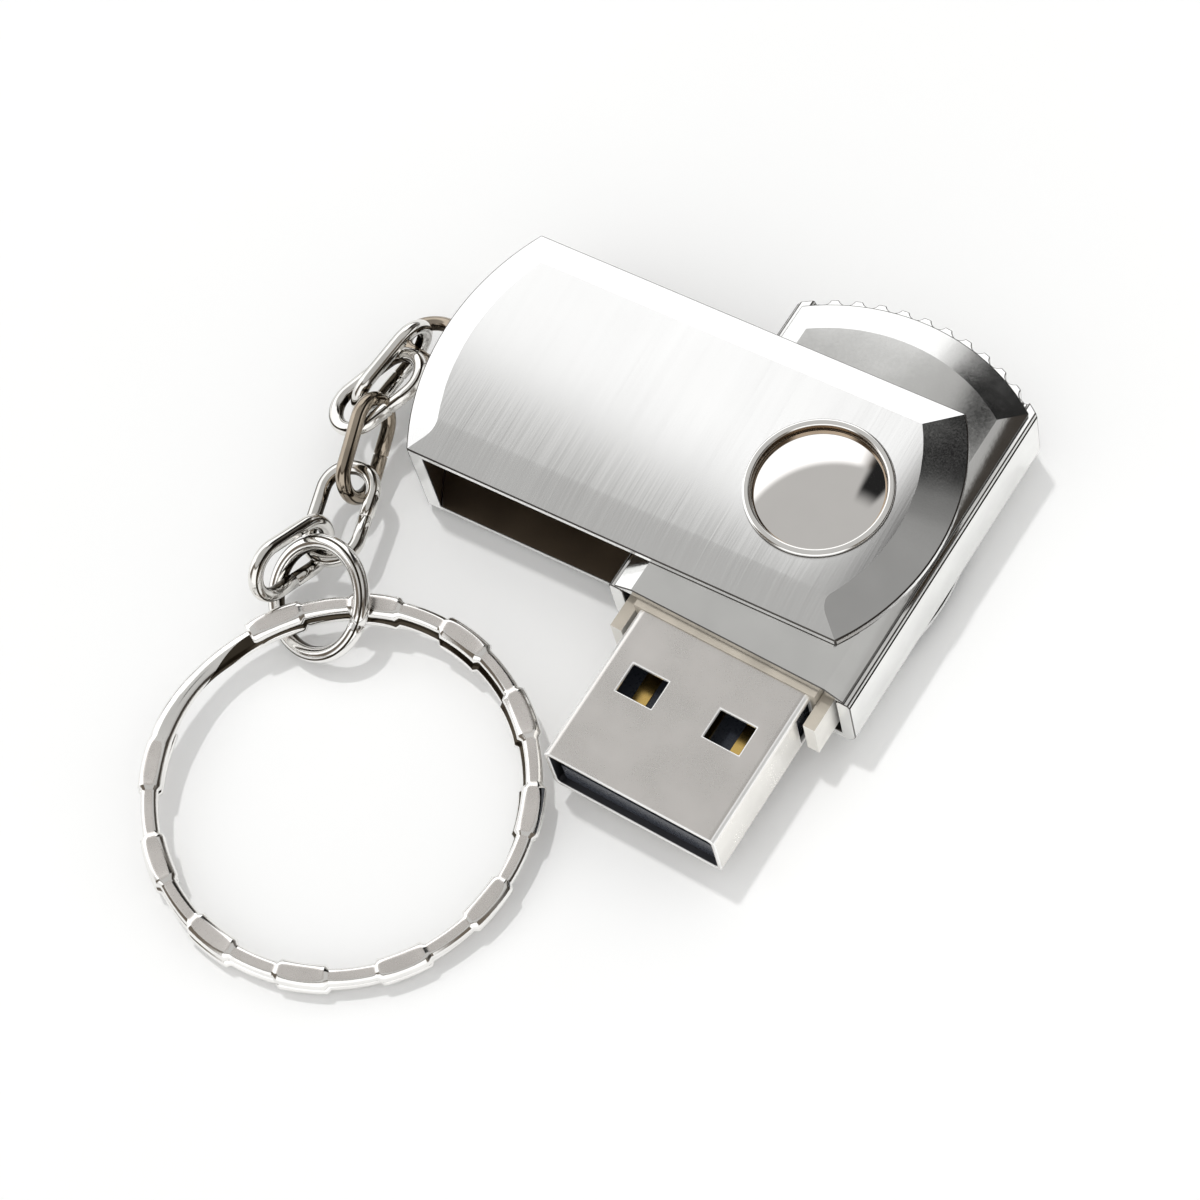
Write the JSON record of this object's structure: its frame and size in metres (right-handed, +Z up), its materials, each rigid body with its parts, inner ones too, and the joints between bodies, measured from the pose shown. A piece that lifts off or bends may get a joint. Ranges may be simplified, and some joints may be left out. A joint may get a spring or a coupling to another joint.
{
  "type": "usb flash drive",
  "caption": "Metal USB flash drive with a folded steel cover that swivels on a round pivot, and a short oval-link chain, jump ring and split key ring on the cover's closed end.",
  "frame": {"origin": "on the swivel axis, at the flat ring of the lower pivot rim that the drive stands on", "axes": "+Z up along the swivel axis, -Y the way the plug points, -X towards the closed end of the cover; the cover rests turned 2.9 degrees about +Z"},
  "size_m": [0.0405, 0.0557, 0.0087],
  "materials": {
    "case_plating": "nickel-chrome plated die casting, lightly textured on the beige edges",
    "lid_plating": "satin plated plate with polished bevels",
    "cover_steel": "brushed across the width, polished bevels and edges",
    "pivot_polish": "mirror polished",
    "rim_polish": "mirror polished",
    "plug_shell": "nickel plated, warm satin",
    "plug_holder": "moulded cream plastic",
    "tongue_plastic": "dark moulded plastic",
    "contact_gold": "gold plated",
    "board_laminate": "green solder mask",
    "chip_resin": "moulded epoxy",
    "crystal_steel": "drawn can",
    "ceramic": "fired ceramic body",
    "chain_plating": "nickel plated wire",
    "ring_plating": "nickel plated wire",
    "split_plating": "nickel plated flat coil"
  },
  "bodies": {
    "drive": {"body_case": "case_plating", "body_lid": "lid_plating", "plug_holder": "plug_holder", "usb_shell": "plug_shell", "usb_tongue": "tongue_plastic", "contact_power": "contact_gold", "contact_data_minus": "contact_gold", "contact_data_plus": "contact_gold", "contact_ground": "contact_gold", "circuit_board": "board_laminate", "controller_chip": "chip_resin", "flash_chip": "chip_resin", "crystal_can": "crystal_steel", "filter_capacitor": "ceramic", "pull_up_resistor": "chip_resin", "pivot_cap_top": "pivot_polish", "pivot_cap_bottom": "pivot_polish"},
    "cover": {"swivel_cover": "cover_steel", "pivot_rim_top": "rim_polish", "pivot_rim_bottom": "rim_polish"},
    "chain_link_1": {"chain_link_1": "chain_plating"},
    "chain_link_2": {"chain_link_2": "chain_plating"},
    "chain_link_3": {"chain_link_3": "chain_plating"},
    "chain_link_4": {"chain_link_4": "chain_plating"},
    "chain_link_5": {"chain_link_5": "chain_plating"},
    "chain_link_6": {"chain_link_6": "chain_plating"},
    "jump_ring": {"jump_ring": "ring_plating"},
    "split_ring": {"split_ring": "split_plating"}
  },
  "joints": [
    {"name": "cover_swivel", "type": "hinge", "parent": "drive", "child": "cover", "pos_m": [0, 0, 0.00435], "axis": [0, 0, 1], "range_deg": [-273, 0]},
    {"name": "link_1_swing", "type": "hinge", "parent": "cover", "child": "chain_link_1", "pos_m": [-0.02609, -0.00132, 0.00435], "axis": [0, 0, 1], "range_deg": [-14, 0]},
    {"name": "link_2_swing", "type": "hinge", "parent": "chain_link_1", "child": "chain_link_2", "pos_m": [-0.02946, -0.00161, 0.00316], "axis": [0.1707, 0.8536, 0.4921], "range_deg": [-60, 2]},
    {"name": "link_3_swing", "type": "hinge", "parent": "chain_link_2", "child": "chain_link_3", "pos_m": [-0.02919, -0.00309, 0.0052], "axis": [-0.8722, -0.3409, -0.3509], "range_deg": [-10, 4]},
    {"name": "link_4_swing", "type": "hinge", "parent": "chain_link_3", "child": "chain_link_4", "pos_m": [-0.02877, -0.00855, 0.00492], "axis": [0.6696, 0.6796, 0.2998], "range_deg": [-28, 16]},
    {"name": "link_5_swing", "type": "hinge", "parent": "chain_link_4", "child": "chain_link_5", "pos_m": [-0.02603, -0.01186, 0.00363], "axis": [-0.2793, 0.9577, 0.0698], "range_deg": [-16, 14]},
    {"name": "link_6_swing", "type": "hinge", "parent": "chain_link_5", "child": "chain_link_6", "pos_m": [-0.02725, -0.01683, 0.00305], "axis": [0.9666, -0.2491, 0.0598], "range_deg": [-24, 4]},
    {"name": "jump_ring_swing", "type": "hinge", "parent": "chain_link_6", "child": "jump_ring", "pos_m": [-0.02749, -0.01906, 0.00292], "axis": [0.1298, 0.8888, -0.4394], "range_deg": [0, 50]},
    {"name": "split_ring_swing", "type": "hinge", "parent": "jump_ring", "child": "split_ring", "pos_m": [-0.02188, -0.01891, 0.00455], "axis": [-0.2799, 0.8197, 0.4998], "range_deg": [0, 60]}
  ]
}
